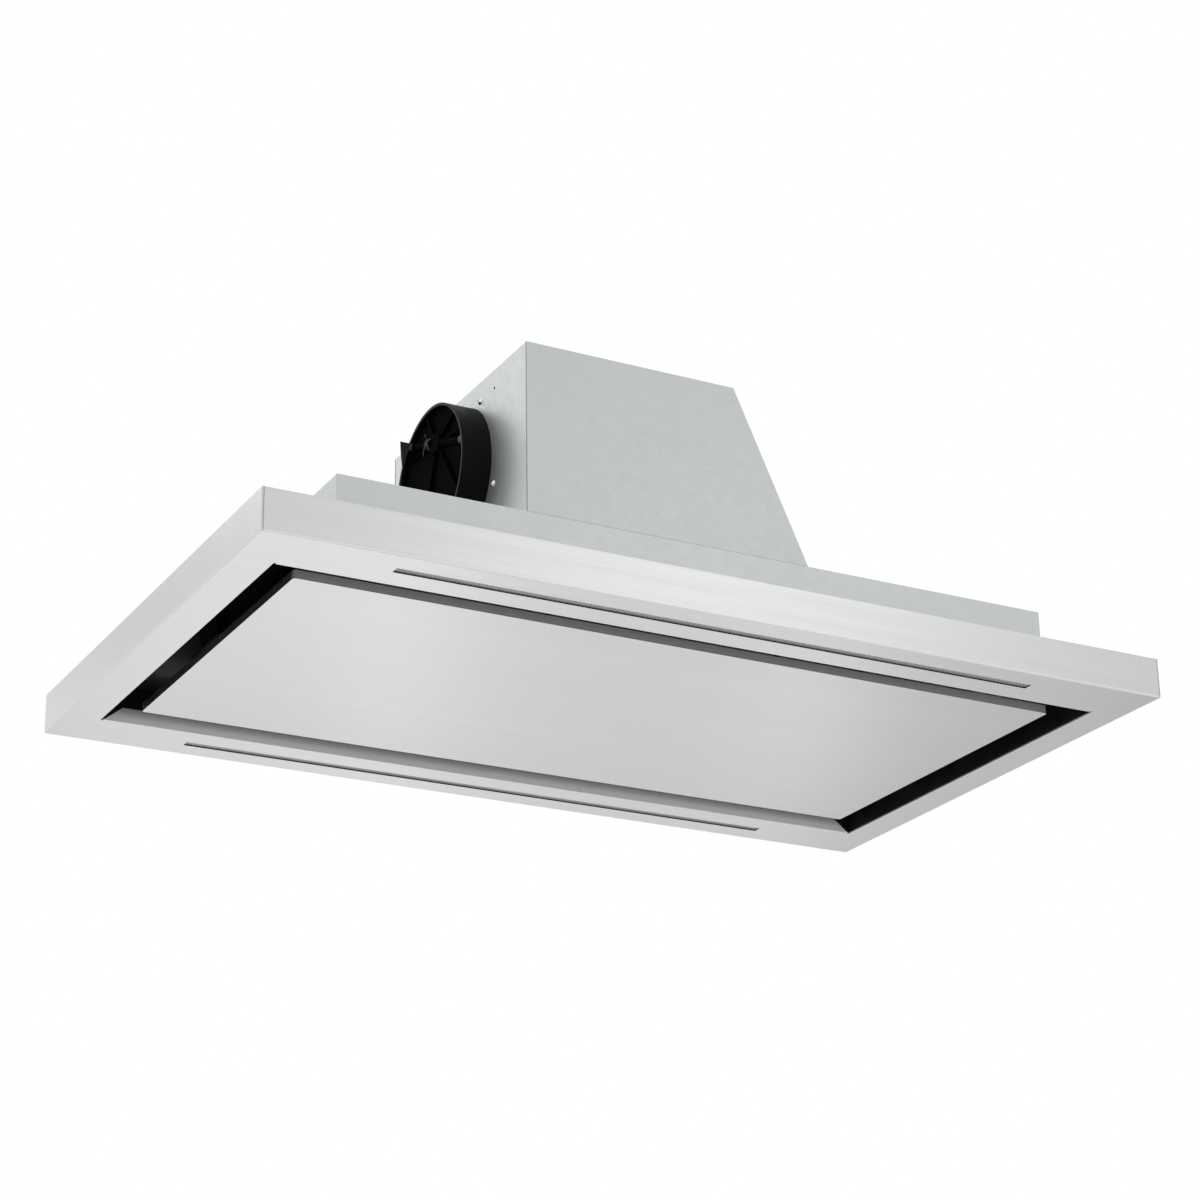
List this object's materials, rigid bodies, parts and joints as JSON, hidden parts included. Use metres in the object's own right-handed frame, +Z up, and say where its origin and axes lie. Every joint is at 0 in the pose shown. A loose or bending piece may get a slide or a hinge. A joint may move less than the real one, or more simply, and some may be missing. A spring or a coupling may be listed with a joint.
{
  "type": "ceiling range hood",
  "caption": "Ceiling extractor hood: brushed steel canopy with perimeter suction panel, lamp slots, galvanised plenum and blower housing, and a round side outlet with damper.",
  "frame": {"origin": "middle of the canopy's underside", "axes": "+X along the hood, away from the outlet collar; +Y from the near long side to the far one; +Z up towards the ceiling"},
  "size_m": [0.96, 0.58, 0.2731],
  "materials": {
    "brushed_steel": "brushed along the hood, satin",
    "liner_black": "smooth black enamel",
    "galvanised": "zinc-coated, pale blue-grey, satin",
    "zinc_steel": "bright zinc plate",
    "chrome": "polished",
    "black_plastic": "moulded, fine satin",
    "spring_wire": "drawn wire, yellow passivated",
    "lamp_diffuser": "fine ribs, unlit",
    "aluminium": "natural, satin",
    "circuit_board": "solder resist",
    "motor_black": "satin enamel",
    "white_plastic": "moulded"
  },
  "bodies": {
    "root": {"cable_gland": "black_plastic", "canopy_frame": "brushed_steel", "canopy_screws": "zinc_steel", "capacitor": "white_plastic", "capacitor_clip": "zinc_steel", "collar_screws": "chrome", "control_board": "circuit_board", "deck_screws": "zinc_steel", "electrics_box": "galvanised", "electrics_lid": "galvanised", "electrics_screws": "zinc_steel", "hanger_plates": "zinc_steel", "hinge_bracket_far": "zinc_steel", "hinge_bracket_near": "zinc_steel", "hinge_pin_far": "zinc_steel", "hinge_pin_near": "zinc_steel", "housing_cover_far": "galvanised", "housing_cover_near": "galvanised", "housing_wrap": "galvanised", "inlet_ring_far": "galvanised", "inlet_ring_near": "galvanised", "inner_liner": "liner_black", "lamp_channel_far": "aluminium", "lamp_channel_near": "aluminium", "lamp_diffuser_far": "lamp_diffuser", "lamp_diffuser_near": "lamp_diffuser", "led_board_far": "circuit_board", "led_board_near": "circuit_board", "led_driver": "white_plastic", "motor_body": "motor_black", "motor_bolts": "zinc_steel", "motor_bracket": "zinc_steel", "outlet_collar": "black_plastic", "panel_catch": "black_plastic", "plenum_tray": "galvanised", "scroll_band": "galvanised", "scroll_side_far": "galvanised", "scroll_side_near": "galvanised", "terminal_block": "white_plastic"},
    "panel": {"perimeter_panel": "brushed_steel", "panel_stiffeners": "galvanised", "hinge_arm_near": "zinc_steel", "hinge_arm_far": "zinc_steel", "catch_strike": "liner_black", "strike_disc": "chrome"},
    "damper": {"damper_spindle": "zinc_steel", "damper_flap": "black_plastic", "damper_spring": "spring_wire"},
    "impeller": {"impeller": "galvanised", "motor_shaft": "zinc_steel", "shaft_nut": "zinc_steel"},
    "filter_1": {"filter_frame_1": "aluminium", "filter_media_1": "aluminium"},
    "ring_1": {"filter_ring_1": "zinc_steel"},
    "filter_2": {"filter_frame_2": "aluminium", "filter_media_2": "aluminium"},
    "ring_2": {"filter_ring_2": "zinc_steel"},
    "filter_3": {"filter_frame_3": "aluminium", "filter_media_3": "aluminium"},
    "ring_3": {"filter_ring_3": "zinc_steel"}
  },
  "joints": [
    {"name": "panel_hinge", "type": "hinge", "parent": "root", "child": "panel", "pos_m": [0.395, 0, 0.02], "axis": [0, -1, 0], "range_deg": [0, 88]},
    {"name": "damper_swing", "type": "hinge", "parent": "root", "child": "damper", "pos_m": [-0.2184, -0.08762, 0.2186], "axis": [0, 0.9478, 0.319], "range_deg": [0, 75], "stiffness_Nm_per_rad": 0.01},
    {"name": "impeller_spin", "type": "hinge", "parent": "root", "child": "impeller", "pos_m": [-0.04, -0.07665, 0.152], "axis": [0, -1, 0], "continuous": true},
    {"name": "filter_1_drop", "type": "slide", "parent": "root", "child": "filter_1", "axis": [0, 0, -1], "range_m": [0, 0.009]},
    {"name": "ring_1_swing", "type": "hinge", "parent": "filter_1", "child": "ring_1", "pos_m": [-0.254, -0.141, 0.0348], "axis": [1, 0, 0], "range_deg": [-80, 80]},
    {"name": "filter_2_drop", "type": "slide", "parent": "root", "child": "filter_2", "axis": [0, 0, -1], "range_m": [0, 0.009]},
    {"name": "ring_2_swing", "type": "hinge", "parent": "filter_2", "child": "ring_2", "pos_m": [0, -0.141, 0.0348], "axis": [1, 0, 0], "range_deg": [-80, 80]},
    {"name": "filter_3_drop", "type": "slide", "parent": "root", "child": "filter_3", "axis": [0, 0, -1], "range_m": [0, 0.009]},
    {"name": "ring_3_swing", "type": "hinge", "parent": "filter_3", "child": "ring_3", "pos_m": [0.254, -0.141, 0.0348], "axis": [1, 0, 0], "range_deg": [-80, 80]}
  ]
}
